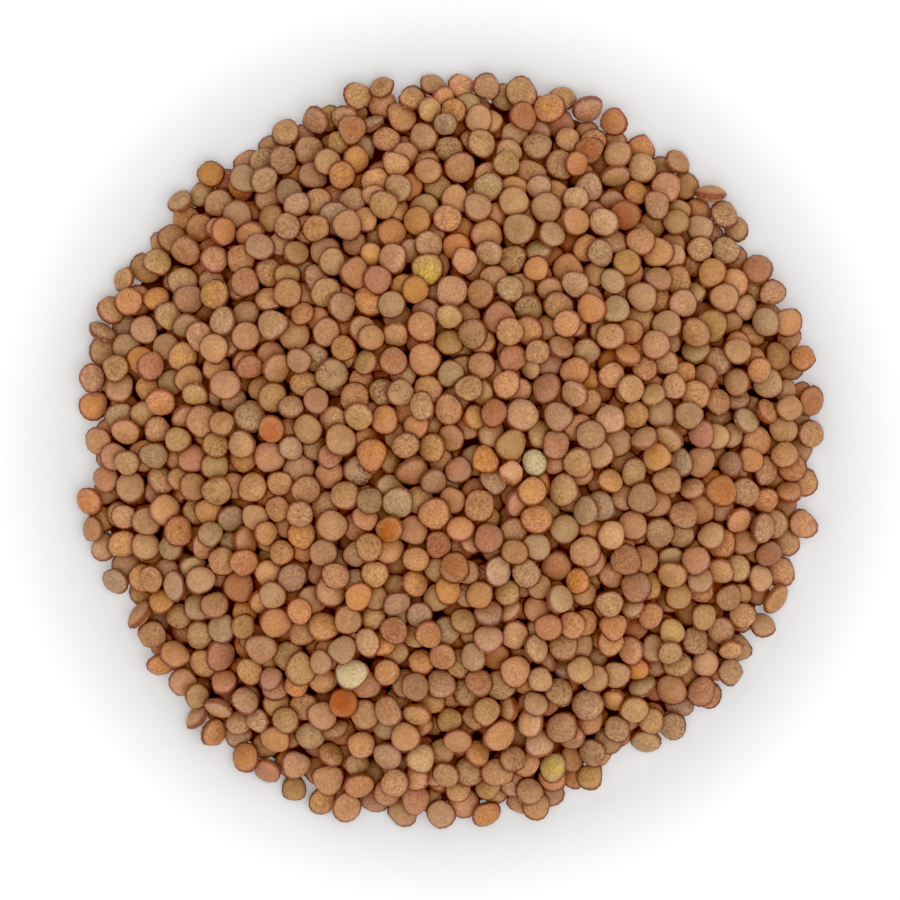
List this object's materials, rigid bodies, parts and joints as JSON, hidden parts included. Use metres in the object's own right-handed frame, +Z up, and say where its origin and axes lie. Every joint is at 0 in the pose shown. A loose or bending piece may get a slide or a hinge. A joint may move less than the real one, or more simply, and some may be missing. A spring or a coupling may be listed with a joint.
{
  "type": "heap of dry lentils",
  "caption": "Low round heap of dry brown lentils with an uneven outline, lying loose on a flat surface.",
  "frame": {"origin": "middle of the heap's footprint, on the surface that it lies on", "axes": "+Z up out of the heap; +X and +Y are the right and the top of the picture, which looks straight down"},
  "size_m": [0.1203, 0.1222, 0.0166],
  "materials": {
    "lentil_skin": "satin, dry seed coat, tan brown with orange, grey and olive lentils among them"
  },
  "bodies": {
    "root": {"lentil_heap": "lentil_skin"}
  },
  "joints": []
}
